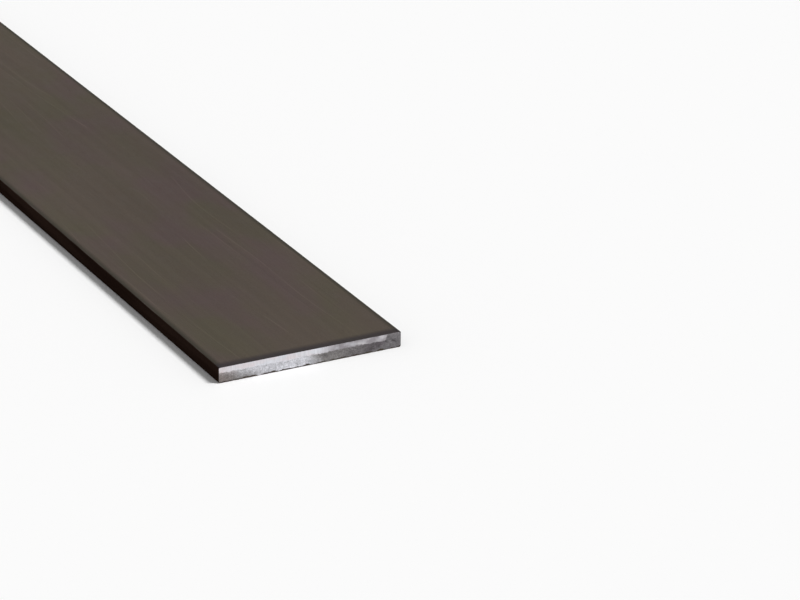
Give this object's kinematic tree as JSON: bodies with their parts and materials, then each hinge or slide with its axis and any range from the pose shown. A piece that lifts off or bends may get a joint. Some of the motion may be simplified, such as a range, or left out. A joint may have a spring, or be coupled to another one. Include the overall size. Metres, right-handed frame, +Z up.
{
  "type": "metal flat bar",
  "caption": "Long flat bar of hot-rolled steel, a plain rectangular strip with slightly rounded long corners and square sheared ends, dark with mill scale.",
  "frame": {"origin": "middle of the underside, on the surface that the bar lies on", "axes": "+X along the bar, +Y across its width, +Z up through its thickness"},
  "size_m": [1, 0.07, 0.006],
  "materials": {
    "mill_scale": "matte"
  },
  "bodies": {
    "root": {"flat_bar": "mill_scale"}
  },
  "joints": []
}
